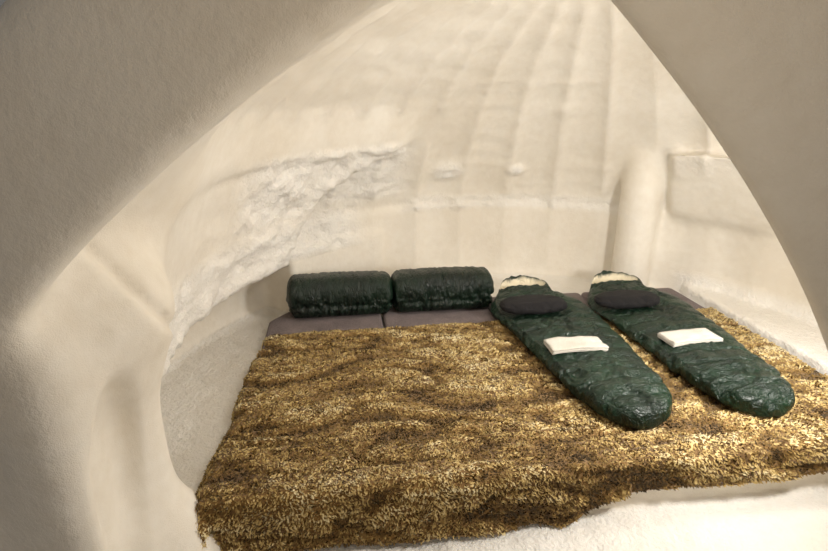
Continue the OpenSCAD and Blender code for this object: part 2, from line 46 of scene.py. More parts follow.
# The dome's axis stands at x = 0 and this y
DOME_Y = -0.72485
# Height of the ledge on top of the low wall
LEDGE_Z = 0.9
# Degrees that a gore of the vault takes, and a flute of the wall
GORE = 11.25
# The camera's place in front of the doorway, its view and how far it looks down
EYE = np.array([-0.80, -3.175, 1.84])
PICTURE_WIDTH_PX = 828
FOCAL_PX = 520
LOOKS_DOWN = 19.5
SENSOR_MM = 36

# Noise on points


def lattice(cell, seed):
    """A repeatable value from 0 to 1 at whole-number points."""
    h = cell[:, 0] * 374761393 + cell[:, 1] * 668265263 + cell[:, 2] * 974634777 + seed * 144665
    h = h & 0xFFFFFFFF
    h = ((h ^ (h >> 13)) * 1274126177) & 0xFFFFFFFF
    return ((h ^ (h >> 16)) & 0xFFFF) / 65535.0


def lumps(points, size, seed):
    """Smooth noise from -1 to 1 whose lumps are about size across; size may differ along X, Y and Z."""
    q = points / np.asarray(size, float)
    cell = np.floor(q).astype(np.int64)
    f = q - cell
    f = f * f * (3 - 2 * f)
    total = np.zeros(len(points))
    for dx in (0, 1):
        for dy in (0, 1):
            for dz in (0, 1):
                w = (f[:, 0] if dx else 1 - f[:, 0]) * (f[:, 1] if dy else 1 - f[:, 1])
                w = w * (f[:, 2] if dz else 1 - f[:, 2])
                total += w * lattice(cell + np.array([dx, dy, dz]), seed)
    return total * 2 - 1


def crumpled(points, size, seed, octaves=3):
    """Noise from -1 to 1 with finer noise on it."""
    total = np.zeros(len(points))
    share = 1.0
    whole = 0.0
    for k in range(octaves):
        total += share * lumps(points, np.asarray(size, float) / 2 ** k, seed + k)
        whole += share
        share *= 0.5
    return total / whole


def ridged(points, size, seed, octaves=2):
    """Noise from 0 to 1 with sharp crests, as folds and scraped snow have."""
    return 1 - np.abs(crumpled(points, size, seed, octaves)) * 2


def between(x, low, high):
    """0 below low, 1 above high, smooth between."""
    t = np.clip((x - low) / (high - low), 0, 1)
    return t * t * (3 - 2 * t)


def band(x, low, full, last, high):
    """0 below low and above high, 1 from full to last, smooth between."""
    return between(x, low, full) * (1 - between(x, last, high))


# Meshes


def linked(name, data):
    """A new object with this data, in the scene."""
    obj = bpy.data.objects.new(name, data)
    SCENE.collection.objects.link(obj)
    return obj


def new_piece(name, verts, faces, cover):
    mesh = bpy.data.meshes.new(name)
    mesh.from_pydata([tuple(v) for v in verts], [], faces)
    mesh.validate()
    mesh.materials.append(cover)
    mesh.shade_smooth()
    return linked(name, mesh)


def vectors(rows, field):
    """This field of a mesh's rows as an array of vectors."""
    values = np.zeros(len(rows) * 3)
    rows.foreach_get(field, values)
    return values.reshape(-1, 3)


def points_of(mesh):
    return vectors(mesh.vertices, "co")


def set_points(mesh, co):
    mesh.vertices.foreach_set("co", np.asarray(co, float).ravel())
    mesh.update()


def normals_of(mesh):
    return vectors(mesh.vertex_normals, "vector")


def applied(obj):
    """The object with its modifiers made part of its mesh."""
    mesh = bpy.data.meshes.new_from_object(obj.evaluated_get(bpy.context.evaluated_depsgraph_get()))
    old = obj.data
    obj.modifiers.clear()
    obj.data = mesh
    bpy.data.meshes.remove(old)
    return obj


def modified(obj, kind, **settings):
    """The object changed by one modifier with these settings."""
    m = obj.modifiers.new("change", kind)
    for key, value in settings.items():
        setattr(m, key, value)
    return applied(obj)


def remeshed(obj, voxel):
    return modified(obj, "REMESH", mode="VOXEL", voxel_size=voxel, use_smooth_shade=True)


def smoothed(obj, times, group_name=""):
    return modified(obj, "SMOOTH", factor=0.5, iterations=times, vertex_group=group_name)


def store(mesh, name, values):
    """Keeps one number a point as an attribute that a material reads."""
    layer = mesh.attributes.get(name) or mesh.attributes.new(name, "FLOAT", "POINT")
    layer.data.foreach_set("value", np.asarray(values, np.float32))


# Materials


def material(name):
    m = bpy.data.materials.new(name)
    m.use_nodes = True
    return m, m.node_tree, m.node_tree.nodes["Principled BSDF"]


def put(tree, socket, value):
    """Links the socket where the value is another node's output, and else sets it."""
    if isinstance(value, bpy.types.NodeSocket):
        tree.links.new(value, socket)
    else:
        socket.default_value = value


def fill_in(tree, n, **values):
    """Gives a node these settings and inputs, in this order; _ stands for a space in an input's name."""
    for key, value in values.items():
        label = key.replace("_", " ")
        if label in n.inputs:
            put(tree, n.inputs[label], value)
        else:
            setattr(n, key, value)
    return n


def node(tree, kind, **values):
    return fill_in(tree, tree.nodes.new(kind), **values)


def ramp(tree, source, stops):
    n = node(tree, "ShaderNodeValToRGB", Fac=source)
    while len(n.color_ramp.elements) < len(stops):
        n.color_ramp.elements.new(0.5)
    for e, (place, colour) in zip(n.color_ramp.elements, stops):
        e.position = place
        e.color = colour
    return n.outputs["Color"]


def srgb(r, g, b):
    """A colour as read on a screen, as the shader wants it."""
    return (*[(c / 255 / 12.92) if c <= 10 else ((c / 255 + 0.055) / 1.055) ** 2.4 for c in (r, g, b)], 1)


def group(name, inputs, outputs, kind="ShaderNodeTree"):
    g = bpy.data.node_groups.new(name, kind)
    for label, socket_type, value in inputs:
        s = g.interface.new_socket(label, in_out="INPUT", socket_type="NodeSocket" + socket_type)
        if value is not None:
            s.default_value = value
    for label, socket_type in outputs:
        g.interface.new_socket(label, in_out="OUTPUT", socket_type="NodeSocket" + socket_type)
    return g, g.nodes.new("NodeGroupInput").outputs, g.nodes.new("NodeGroupOutput").inputs


def math_node(tree, kind, *values):
    n = node(tree, "ShaderNodeMath", operation=kind)
    for socket, value in zip(n.inputs, values):
        put(tree, socket, value)
    return n.outputs[0]


def mixed(tree, share, first, second):
    """The first colour where share is 0, and the second where it is 1."""
    n = node(tree, "ShaderNodeMix", data_type="RGBA")
    for k, value in ((0, share), (6, first), (7, second)):
        put(tree, n.inputs[k], value)
    return n.outputs[2]


def build_patches_group():
    """Two tones that drift into each other, with a finer mottle."""
    g, given, result = group("drifting_tone",
        [("Vector", "Vector", None), ("Pale", "Color", (0.8, 0.8, 0.8, 1)),
         ("Deep", "Color", (0.6, 0.6, 0.6, 1)), ("Size", "Float", 2.0), ("Mottle", "Float", 0.3)],
        [("Color", "Color")])
    finer = math_node(g, "MULTIPLY", given["Size"], 14.0)
    wide = node(g, "ShaderNodeTexNoise", Vector=given["Vector"], Scale=given["Size"], Detail=3.0)
    fine = node(g, "ShaderNodeTexNoise", Vector=given["Vector"], Scale=finer, Detail=2.0)
    spread = math_node(g, "MULTIPLY", math_node(g, "SUBTRACT", fine.outputs["Fac"], 0.5), given["Mottle"])
    total = math_node(g, "ADD", wide.outputs["Fac"], spread)
    share = node(g, "ShaderNodeMapRange", From_Min=0.3, From_Max=0.7, Value=total)
    put(g, result["Color"], mixed(g, share.outputs["Result"], given["Pale"], given["Deep"]))
    return g


def build_grain_group():
    """Heights of packed snow: fine grains, with pits and crumbs where Roughened is high."""
    g, given, result = group("snow_grain",
        [("Vector", "Vector", None), ("Roughened", "Float", 0.0)],
        [("Height", "Float")])
    place = given["Vector"]
    grain = node(g, "ShaderNodeTexNoise", Vector=place, Scale=260.0, Detail=2.0, Roughness=0.6)
    crust = node(g, "ShaderNodeTexNoise", Vector=place, Scale=34.0, Detail=5.0, Roughness=0.65)
    pits = node(g, "ShaderNodeTexVoronoi", Vector=place, Scale=60.0)
    rough = math_node(g, "ADD", math_node(g, "MULTIPLY", given["Roughened"], 5.0), 0.5)
    deep = math_node(g, "MULTIPLY", given["Roughened"], 0.8)
    a = math_node(g, "MULTIPLY", grain.outputs["Fac"], 0.35)
    b = math_node(g, "MULTIPLY", crust.outputs["Fac"], rough)
    c = math_node(g, "MULTIPLY", pits.outputs["Distance"], deep)
    put(g, result["Height"], math_node(g, "ADD", math_node(g, "ADD", a, b), c))
    return g


TONE = build_patches_group()
GRAIN = build_grain_group()


def object_place(tree):
    return node(tree, "ShaderNodeTexCoord").outputs["Object"]


def attribute(tree, name):
    return node(tree, "ShaderNodeAttribute", attribute_name=name).outputs["Fac"]


def toned(tree, place, pale, deep, size, mottle):
    """The colour of two tones that drift into each other."""
    return node(tree, "ShaderNodeGroup", node_tree=TONE, Vector=place, Pale=pale, Deep=deep, Size=size,
        Mottle=mottle).outputs["Color"]


def bumped(tree, strength, distance, heights, **values):
    """The normal that a group of heights gives."""
    height = node(tree, "ShaderNodeGroup", node_tree=heights, **values).outputs["Height"]
    return node(tree, "ShaderNodeBump", Strength=strength, Distance=distance, Height=height).outputs["Normal"]


def snow_material(name, pale, deep, fresh):
    m, t, shader = material(name)
    place = object_place(t)
    rough = attribute(t, "roughened")
    tone = toned(t, place, pale, deep, 1.3, 0.35)
    fill_in(t, shader, Base_Color=mixed(t, math_node(t, "MULTIPLY", rough, 0.45), tone, fresh),
        Normal=bumped(t, 0.55, 0.006, GRAIN, Vector=place, Roughened=rough), Roughness=0.62,
        Specular_IOR_Level=0.35, Subsurface_Weight=0.12, Subsurface_Radius=(0.02, 0.017, 0.013),
        Subsurface_Scale=1.0)
    return m


# The camera, at the photograph's place in front of the doorway

camera = linked("camera", bpy.data.cameras.new("camera"))
camera.data.sensor_width = SENSOR_MM
camera.data.lens = SENSOR_MM * FOCAL_PX / PICTURE_WIDTH_PX
camera.location = EYE
camera.rotation_euler = (math.radians(90 - LOOKS_DOWN), 0, 0)
SCENE.camera = camera

# The snow

SNOW_NODES = [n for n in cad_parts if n.startswith(("snow_", "sleeping_platform", "wall_", "vault_",
    "crown_", "front_", "door_lobe", "left_overhang", "right_", "ledge_"))]


ARC_ROWS = 17


def joined_copy(names):
    """One mesh with copies of these CAD nodes, their loose corners merged."""
    bm = bmesh.new()
    for n in names:
        one = bmesh.new()
        one.from_mesh(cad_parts[n].data)
        bmesh.ops.remove_doubles(one, verts=one.verts, dist=1e-5)
        mesh = bpy.data.meshes.new("part")
        one.to_mesh(mesh)
        one.free()
        bm.from_mesh(mesh)
        bpy.data.meshes.remove(mesh)
    # Snow that fills the jamb, the slit beside the left pier, the end of the undercut and the step over it
    lump_of_snow(bm, (-1.87, -1.76, 1.06), (0.21, 0.20, 0.27))
    lump_of_snow(bm, (-2.03, -1.86, 0.52), (0.20, 0.15, 0.62))
    lump_of_snow(bm, (-1.87, -1.57, 1.18), (0.20, 0.30, 0.36))
    arc_of_snow(bm, 121, 146, ((2.035, 0.2), (2.45, 0.2), (2.45, 0.75), (2.035, 0.75)))
    arc_of_snow(bm, 119, 200, ((1.725, 1.43), (1.95, 1.43), (1.80, 1.72), (1.60, 1.72)))
    mesh = bpy.data.meshes.new("snow_mass")
    bmesh.ops.recalc_face_normals(bm, faces=bm.faces)
    bm.to_mesh(mesh)
    bm.free()
    return linked("snow_mass", mesh)


def lump_of_snow(mesh_to, place, size):
    """Adds a round lump, cut off level near the ground, to the mass before it is made one skin."""
    made = bmesh.ops.create_icosphere(mesh_to, subdivisions=4, radius=1.0,
        matrix=Matrix.Translation(place) @ Matrix.Diagonal((*size, 1.0)))
    for v in made["verts"]:
        v.co.z = max(v.co.z, 0.02)


def arc_of_snow(mesh_to, phi0, phi1, section):
    """Adds a curved block with this section (distance from the dome's axis, height), from phi0 to phi1."""
    rows = []
    for a in np.radians(np.linspace(phi0, phi1, ARC_ROWS)):
        rows.append([mesh_to.verts.new((r * math.cos(a), DOME_Y + r * math.sin(a), z)) for r, z in section])
    for p, q in zip(rows, rows[1:]):
        for i in range(4):
            mesh_to.faces.new((p[i], p[(i + 1) % 4], q[(i + 1) % 4], q[i]))
    mesh_to.faces.new(rows[0][::-1])
    mesh_to.faces.new(rows[-1])


def around(p):
    """The dome's own measures of points: angle from +X in degrees, distance from its axis, and height."""
    d = p - np.array([0, DOME_Y, 0])
    return np.degrees(np.arctan2(d[:, 1], d[:, 0])) % 360, np.hypot(d[:, 0], d[:, 1]), p[:, 2]


def outside_share(p):
    """1 on the dome's outside and on the front wall's face, 0 in the room."""
    d = p - np.array([0, DOME_Y, 0])
    return np.maximum(between(np.linalg.norm(d, axis=1), 2.56, 2.62), between(-p[:, 1], 1.99, 2.02))


def right_wall_share(phi, z):
    """1 on the right wall, where snow was packed over the flutes up to the block and scraped flat."""
    return band(phi, 16, 22, 54, 58) * band(z, 0.36, 0.5, 1.22, 1.36)


def softened_share(p):
    """1 where snow was rounded by hand: the doorway's rim, the mouth of the vault and the jamb's lobes."""
    phi, ring, z = around(p)
    rim = between(-p[:, 1], 1.62, 1.80) * (1 - between(ring, 2.35, 2.5)) * between(z, 0.12, 0.3)
    jamb = between(-p[:, 1], 1.28, 1.42) * between(-p[:, 0], 1.25, 1.4) * between(z, 0.15, 0.35)
    brow = band(phi, 104, 112, 206, 210) * band(z, 1.42, 1.5, 1.65, 1.75)
    left = band(phi, 176, 184, 205, 212) * between(z, 0.95, 1.1)
    pilaster = band(phi, 50, 53, 65, 68) * between(z, 1.1, 1.2)
    inner = 1 - between(ring, 2.25, 2.35)
    parts = jamb + brow + left * 0.8 + pilaster * 0.6 + right_wall_share(phi, z) * 0.9
    return np.maximum(rim, np.clip(parts, 0, 1) * inner)


def beyond(p, a, b):
    """How far points lie to the left of the plane through the doorway's viewpoint and the points a and b."""
    normal = np.cross(np.subtract(a, EYE), np.subtract(b, EYE))
    return (p - EYE) @ (normal / np.linalg.norm(normal))


def grouped(obj, name, share):
    """A vertex group with this share at each point, in ten steps."""
    g = obj.vertex_groups.new(name=name)
    steps = np.round(share * 10).astype(int)
    for k in range(1, 11):
        g.add([int(i) for i in np.nonzero(steps == k)[0]], k / 10, "REPLACE")
    return name


def make_snow_mass(voxel):
    obj = remeshed(joined_copy(SNOW_NODES), voxel)
    smoothed(obj, 7)
    smoothed(obj, 70, grouped(obj, "soft", softened_share(points_of(obj.data))))
    obj.vertex_groups.clear()
    return obj


def weather(mesh):
    """Moves the snow's surface by what the mould, the hand, the shovel and the thaw leave on it."""
    p = points_of(mesh)
    n = normals_of(mesh)
    x, y = p[:, 0], p[:, 1]
    phi, ring, z = around(p)
    out = outside_share(p)
    inside = 1 - np.maximum(out, between(-y, 1.80, 1.95))
    crisp = inside * (1 - softened_share(p))
    # Ridges between the gores of the vault and between the flutes of the wall
    off = np.abs((phi / GORE + 0.5) % 1 - 0.5) * math.radians(GORE) * ring
    crest = np.exp(-np.abs(off + 0.018 * crumpled(p, 0.3, 71, 2)) / 0.034) - 0.25
    vault = between(z, 0.97, 1.05) * between(ring, 0.62, 0.75) * crisp
    wall = band(z, 0.3, 0.4, 0.84, 0.9) * between(ring, 1.85, 1.95) * inside
    move = 0.026 * crest * vault * (0.4 + 0.6 * band(phi, 20, 30, 130, 150))
    move += 0.016 * crest * wall * band(phi, 56, 62, 118, 126)
    # Long scoops that the mould and the gloved hand left, along the rings of the vault
    q = np.column_stack([np.radians(phi) * 1.6, ring * 0.4, z])
    scoops = ridged(q + 0.05 * lumps(q, 0.4, 77)[:, None], (0.55, 1.0, 0.13), 81)
    move += 0.008 * (scoops - 0.5) * crisp * between(z, 0.95, 1.1) * between(ring, 0.5, 0.8)
    # Rough carved snow: left patch, lip of the overhang, block, ledge, floor and shelf
    patch = band(phi, 112, 120, 158, 172) * band(z, 0.95, 1.1, 1.55, 1.75)
    lip = band(phi, 124, 132, 192, 200) * band(z, 0.66, 0.7, 0.92, 1.05)
    block = 0.25 * band(phi, 26, 30, 53, 57) * band(z, 1.0, 1.2, 1.4, 1.6)
    ledge = 0.7 * band(phi, 60, 66, 112, 118) * band(z, 0.86, 0.9, 0.96, 1.02)
    stuck = sum(np.exp(-(((phi - a) / wide) ** 2 + ((z - h) / tall) ** 2) ** 2)
        for a, wide, h, tall in ((105.5, 3.6, 1.21, 0.075), (88.5, 2.0, 1.22, 0.04)))
    walls = np.clip(patch + lip + block + ledge + stuck, 0, 1) * between(ring, 1.3, 1.5) * crisp
    level = between(n[:, 2], 0.6, 0.85) * (1 - between(z, 0.3, 0.42))
    floor_rough = level * inside
    shelf = between(x, 1.3, 1.4) * (1 - between(z, 0.4, 0.5)) * inside
    rough = np.clip(walls + floor_rough + shelf, 0, 1)
    store(mesh, "roughened", rough * 0.95 + out * 0.25 + crisp * 0.12)
    chunks = crumpled(p, (0.20, 0.20, 0.12), 21)
    move += walls * (0.030 * chunks + 0.022 * np.abs(chunks) * np.sign(lumps(p, 0.1, 28))
        + 0.012 * ridged(p, (0.10, 0.10, 0.06), 31) - 0.008)
    move += floor_rough * (0.012 * crumpled(p, 0.13, 51) + 0.005 * ridged(p, 0.05, 57) - 0.004)
    move += shelf * (1 - level) * 0.01 * crumpled(p, 0.1, 53, 2)
    move += 0.009 * crumpled(p, 0.7, 3, 2) * inside + 0.003 * crumpled(p, 0.14, 11, 2) * crisp
    move += 0.022 * np.clip(stuck, 0, 1) * inside
    scraped = crumpled(p, 0.09, 61) + 0.5 * ridged(p, (0.12, 0.12, 0.035), 63)
    move += 0.006 * right_wall_share(phi, z) * scraped * inside * (1 - out)
    move += out * 0.012 * crumpled(p, 0.35, 41)
    # The jamb: the flat hollow between its lobes, and the seam where the wall's snow was laid over its head
    jamb = band(-x, 1.45, 1.52, 2.1, 2.2) * (1 - out) * (1 - between(y, -1.5, -1.35))
    left = -beyond(p, (-1.686, -1.847, 1.096), (-1.908, -1.873, 0.424))
    right = beyond(p, (-1.611, -1.828, 1.150), (-1.663, -1.873, 0.424))
    hollow = between(left, -0.01, 0.035) * between(right, -0.01, 0.035) * band(z, 0.12, 0.3, 0.94, 1.08)
    move -= 0.06 * hollow * jamb * between(y, -1.98, -1.9)
    over = beyond(p, (-1.840, -1.555, 1.315), (-1.724, -1.500, 1.119))
    head = band(over, -0.005, 0.02, 0.04, 0.3) - 1.3 * np.exp(-((over + 0.012) / 0.016) ** 2)
    move += 0.014 * head * jamb * between(z, 0.98, 1.1) * between(y, -1.86, -1.70)
    set_points(mesh, p + n * move[:, None])


def thinned_outside(obj, keep):
    """Keeps this share of the faces on the outside, which is plain, and all of the others."""
    share = outside_share(points_of(obj.data))
    ratio = 1 - (1 - keep) * (share > 0.95).mean()
    modified(obj, "DECIMATE", vertex_group=grouped(obj, "outer", share), ratio=ratio)
    obj.vertex_groups.clear()


def halves(obj, z, names):
    """The closed piece cut in two at the height z and closed by flat faces, shaded as it was when whole."""
    whole = obj.data
    smooth = normals_of(whole)
    tree = BVHTree.FromPolygons([v.co for v in whole.vertices], [p.vertices[:] for p in whole.polygons])
    known = {v.co.to_tuple(5): smooth[v.index] for v in whole.vertices}
    pieces = []
    for upper, name in zip((False, True), names):
        bm = bmesh.new()
        bm.from_mesh(whole)
        cut = bmesh.ops.bisect_plane(bm, geom=bm.verts[:] + bm.edges[:] + bm.faces[:], plane_co=(0, 0, z),
            plane_no=(0, 0, 1), clear_outer=not upper, clear_inner=upper, dist=1e-5)
        edges = [e for e in cut["geom_cut"] if isinstance(e, bmesh.types.BMEdge) and e.is_boundary]
        for face in bm.faces:
            face.smooth = True
        caps = bmesh.ops.triangle_fill(bm, edges=edges, use_beauty=False, use_dissolve=False)["geom"]
        side = -1.0 if upper else 1.0
        for face in caps:
            if isinstance(face, bmesh.types.BMFace):
                face.smooth = False
                face.normal_update()
                if face.normal.z * side < 0:
                    face.normal_flip()
        mesh = bpy.data.meshes.new(name)
        bm.to_mesh(mesh)
        bm.free()
        at_point = []
        for v in mesh.vertices:
            n = known.get(v.co.to_tuple(5))
            if n is None:
                spot, _, face, _ = tree.find_nearest(v.co)
                corners = whole.polygons[face].vertices
                weights = poly_3d_calc([whole.vertices[c].co for c in corners], spot)
                n = sum(smooth[c] * w for c, w in zip(corners, weights))
            at_point.append(n)
        loops = [at_point[c] if f.use_smooth else (0, 0, side) for f in mesh.polygons for c in f.vertices]
        mesh.normals_split_custom_set([tuple(n) for n in loops])
        pieces.append(linked(name, mesh))
    bpy.data.objects.remove(obj)
    return pieces


snow = snow_material("packed_snow_cream", srgb(240, 234, 222), srgb(226, 217, 201), srgb(248, 247, 244))
mass = make_snow_mass(0.024)
weather(mass.data)
thinned_outside(mass, 0.2)
UPPER_STARTS = ("vault_", "crown_", "front_haunch", "right_snow_block", "ledge_")
upper_nodes = [n for n in SNOW_NODES if n.startswith(UPPER_STARTS)]
lower_nodes = [n for n in SNOW_NODES if n not in upper_nodes]
for piece, nodes in zip(halves(mass, LEDGE_Z + 0.002, ("snow_walls_and_floor", "snow_vault_and_arch")),
                        (lower_nodes, upper_nodes)):
    piece.data.materials.append(snow)
    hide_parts(*nodes)
    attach(piece, "root")

# The bed's own directions: it is turned in the room by this many degrees

BED_TURN = 8
BED_FRONT = -0.60
BED_LEFT = -1.68
BED_RIGHT = 1.524
MATTRESS_TOP = 0.3203
BED_TOP = 0.3456


def turned(p, degrees, x, y):
    """Points turned about Z and then moved by x and y."""
    c, k = math.cos(math.radians(degrees)), math.sin(math.radians(degrees))
    return np.column_stack([x + p[:, 0] * c - p[:, 1] * k, y + p[:, 0] * k + p[:, 1] * c, p[:, 2]])


def from_bed(p):
    """Points given in the bed's directions, from the dome's centre, as points of the part."""
    return turned(p, BED_TURN, 0, DOME_Y)


def flat(u, v):
    """Points of a plan, for noise that doesn't change with height."""
    return np.column_stack([u, v, u * 0])


def ring_at(plan, z):
    """Points of a plan, all at one height."""
    return np.column_stack([plan, np.full(len(plan), z)])


def grid_faces(rows, cols, wrap=False):
    """Faces over rows x cols points; with wrap the last column joins the first."""
    faces = []
    for i in range(rows - 1):
        for j in range(cols if wrap else cols - 1):
            k = (j + 1) % cols
            faces.append((i * cols + j, i * cols + k, (i + 1) * cols + k, (i + 1) * cols + j))
    return faces


def outward(obj):
    """Merges doubles and turns every face of a closed piece outwards."""
    bm = bmesh.new()
    bm.from_mesh(obj.data)
    bmesh.ops.remove_doubles(bm, verts=bm.verts, dist=1e-6)
    bmesh.ops.recalc_face_normals(bm, faces=bm.faces)
    bm.to_mesh(obj.data)
    bm.free()
    return obj


# Fabrics


def build_satin_group():
    """Heights of crumpled satin: soft creases that cross."""
    g, given, result = group("satin_creases", [("Vector", "Vector", None)], [("Height", "Float")])
    crease = node(g, "ShaderNodeTexNoise", Vector=given["Vector"], Scale=26.0, Detail=3.0, Roughness=0.5,
        Distortion=0.8)
    folded = math_node(g, "ABSOLUTE", math_node(g, "SUBTRACT", crease.outputs["Fac"], 0.5))
    put(g, result["Height"], math_node(g, "MULTIPLY", folded, -1.0))
    return g


def build_weave_group():
    """Heights of a plain weave: threads that pass over and under each other."""
    g, given, result = group("plain_weave", [("Vector", "Vector", None), ("Threads", "Float", 500.0)],
        [("Height", "Float")])
    split = node(g, "ShaderNodeSeparateXYZ", Vector=given["Vector"])
    waves = []
    for k in (0, 1):
        phase = math_node(g, "MULTIPLY", split.outputs[k], given["Threads"])
        waves.append(math_node(g, "SINE", math_node(g, "MULTIPLY", phase, TURN)))
    put(g, result["Height"], math_node(g, "MULTIPLY", *waves))
    return g


SATIN = build_satin_group()
WEAVE = build_weave_group()


def satin_material(name, pale, deep, stretch, roughness):
    """Green satin, with the matt lining's colour where the attribute lining is 1."""
    m, t, shader = material(name)
    place = object_place(t)
    lining = attribute(t, "lining")
    across = node(t, "ShaderNodeMapping", Vector=place, Rotation=(0, 0, math.radians(-20)), Scale=stretch)
    matt = math_node(t, "ADD", math_node(t, "MULTIPLY", lining, 0.9 - roughness), roughness)
    fill_in(t, shader, Base_Color=mixed(t, lining, toned(t, place, pale, deep, 5.0, 0.2), LINING),
        Normal=bumped(t, 1.0, 0.024, SATIN, Vector=across.outputs["Vector"]), Roughness=matt,
        Specular_IOR_Level=0.42)
    return m


def woven_material(name, pale, deep, threads=420.0, depth=0.0012, roughness=0.85, sheen=0.0):
    m, t, shader = material(name)
    place = object_place(t)
    fill_in(t, shader, Base_Color=toned(t, place, pale, deep, 6.0, 0.6),
        Normal=bumped(t, 0.6, depth, WEAVE, Vector=place, Threads=threads), Roughness=roughness,
        Sheen_Weight=sheen)
    return m


# Padded pieces

CLOTH_FRAMES = 18


def loft(name, rings, cover):
    """A closed piece through rings of equal count, its two ends closed by fans."""
    count = len(rings[0])
    verts = np.vstack(rings + [rings[0].mean(0)[None], rings[-1].mean(0)[None]])
    faces = grid_faces(len(rings), count, wrap=True)
    low, high = len(verts) - 2, len(verts) - 1
    last = (len(rings) - 1) * count
    faces += [((j + 1) % count, j, low) for j in range(count)]
    faces += [(last + j, last + (j + 1) % count, high) for j in range(count)]
    return outward(new_piece(name, verts, faces, cover))


def filled(obj, held, pressure, slack, cap):
    """Fills a fabric form as a cloth would, and then makes it finer."""
    simulate(obj, held, pressure, slack, cap)
    modified(obj, "SUBSURF", levels=1, render_levels=1)


def simulate(obj, held, pressure, slack, cap):
    """A cloth simulation: held is 1 where the fabric is sewn down, and no point moves further than cap."""
    rest = points_of(obj.data)
    g = obj.vertex_groups.new(name="held")
    for level in (0.15, 0.3, 0.45, 0.6, 0.75, 0.9, 1.0):
        picked = np.nonzero((held >= level - 0.075) & (held < level + 0.075))[0]
        g.add([int(i) for i in picked], level, "REPLACE")
    m = obj.modifiers.new("cloth", "CLOTH")
    c = m.settings
    c.quality = 5
    c.mass = 0.15
    c.tension_stiffness = c.compression_stiffness = 12
    c.shear_stiffness = 5
    c.bending_stiffness = 0.05
    c.shrink_min = -slack
    c.use_pressure = True
    c.uniform_pressure_force = pressure
    c.vertex_group_mass = "held"
    c.effector_weights.gravity = 0
    m.collision_settings.use_collision = False
    m.collision_settings.use_self_collision = False
    m.point_cache.frame_start = 1
    m.point_cache.frame_end = CLOTH_FRAMES
    for f in range(1, CLOTH_FRAMES + 1):
        SCENE.frame_set(f)
    done = obj.evaluated_get(bpy.context.evaluated_depsgraph_get())
    moved = points_of(done.data) - rest
    obj.modifiers.clear()
    obj.vertex_groups.clear()
    SCENE.frame_set(1)
    far = np.linalg.norm(moved, axis=1)
    moved *= np.minimum(1, cap / np.maximum(far, 1e-9))[:, None]
    set_points(obj.data, rest + moved)


# Mattresses


ROOM_RADIUS = 2.024
PAD_CORNER = 0.04
PAD_STEP = 0.02


def pad_outline(x0, x1, y0, y1):
    """A rectangle with round corners, kept inside the room's round wall."""
    radius = PAD_CORNER
    pts = []
    for cx, cy, a in ((x1 - radius, y1 - radius, 0), (x0 + radius, y1 - radius, 90),
                      (x0 + radius, y0 + radius, 180), (x1 - radius, y0 + radius, 270)):
        for k in range(7):
            t = math.radians(a + 15 * k)
            pts.append((cx + radius * math.cos(t), cy + radius * math.sin(t)))
    out = []
    for p, q in zip(pts, pts[1:] + pts[:1]):
        n = max(1, int(math.dist(p, q) / PAD_STEP))
        out += [(p[0] + (q[0] - p[0]) * k / n, p[1] + (q[1] - p[1]) * k / n) for k in range(n)]
    out = np.array(out)
    far = np.linalg.norm(out, axis=1)
    return out * np.minimum(1, ROOM_RADIUS / far)[:, None]


def mattress_pad(name, outline, z0, z1, cover):
    """A slab of foam in its cover: rounded edges, a seam round its middle and a flat top."""
    centre = outline.mean(0)
    along = np.roll(outline, -1, 0) - np.roll(outline, 1, 0)
    along /= np.linalg.norm(along, axis=1)[:, None]
    inward = np.column_stack([-along[:, 1], along[:, 0]])
    half, mid = (z1 - z0) / 2, (z0 + z1) / 2
    rings = []
    for k in range(9):
        a = math.radians(-80 + 20 * k)
        seam = 0.003 if k == 4 else 0.0
        ring = outline + inward * (half * 0.6 * (1 - math.cos(a)) + seam)
        rings.append(ring_at(ring, mid + half * math.sin(a)))
    top = rings[-1][:, :2]
    for share in (0.95, 0.85, 0.7, 0.5, 0.3, 0.1):
        rings.append(ring_at(centre + (top - centre) * share, z1))
    rings.insert(0, ring_at(centre + (rings[0][:, :2] - centre) * 0.5, rings[0][0, 2]))
    return loft(name, [from_bed(r) for r in rings], cover)


PAD_PITCH = 0.803
PAD_WIDTH = 0.795
PAD_LENGTH = 1.959

mattress_cloth = woven_material("mattress_cover_mauve", srgb(132, 118, 116), srgb(104, 91, 90), sheen=0.1)
for k in range(4):
    x0 = BED_LEFT + k * PAD_PITCH
    y0 = BED_FRONT + 0.006
    outline = pad_outline(x0, x0 + PAD_WIDTH, y0, y0 + PAD_LENGTH)
    pad = mattress_pad(f"mattress_pad_{k + 1}", outline, 0.2505, 0.3200, mattress_cloth)
    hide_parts(f"mattress_{k + 1}")
    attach(pad, "root")


# Sleeping bags

# Distance from the foot and radius of each round of the bag's plan
BAG_STATIONS = [(0.213, 0.216), (0.389, 0.266), (0.8325, 0.317), (1.332, 0.36), (1.6465, 0.209)]
BAG_FOOT_Y = -0.45


def bag_half_width(t):
    """Half the bag's width at the distance t from its foot: the hull of its five round stations."""
    best = np.zeros_like(t)
    for (y, r) in BAG_STATIONS:
        best = np.maximum(best, np.sqrt(np.clip(r * r - (t - y) ** 2, 0, None)))
    for (y0, r0), (y1, r1) in zip(BAG_STATIONS, BAG_STATIONS[1:]):
        slant = (r1 - r0) / (y1 - y0)
        lean = math.sqrt(1 - slant * slant)
        a, b = y0 - r0 * slant, y1 - r1 * slant
        line = r0 * lean + (t - a) * (r1 - r0) * lean / (b - a)
        best = np.maximum(best, np.where((t >= a) & (t <= b), line, 0))
    return best


def hood_ring(u, t, length):
    """1 on the oval of the hood's mouth, less inside it."""
    return np.hypot((u + 0.02) / 0.19, (t - 1.66) / length)


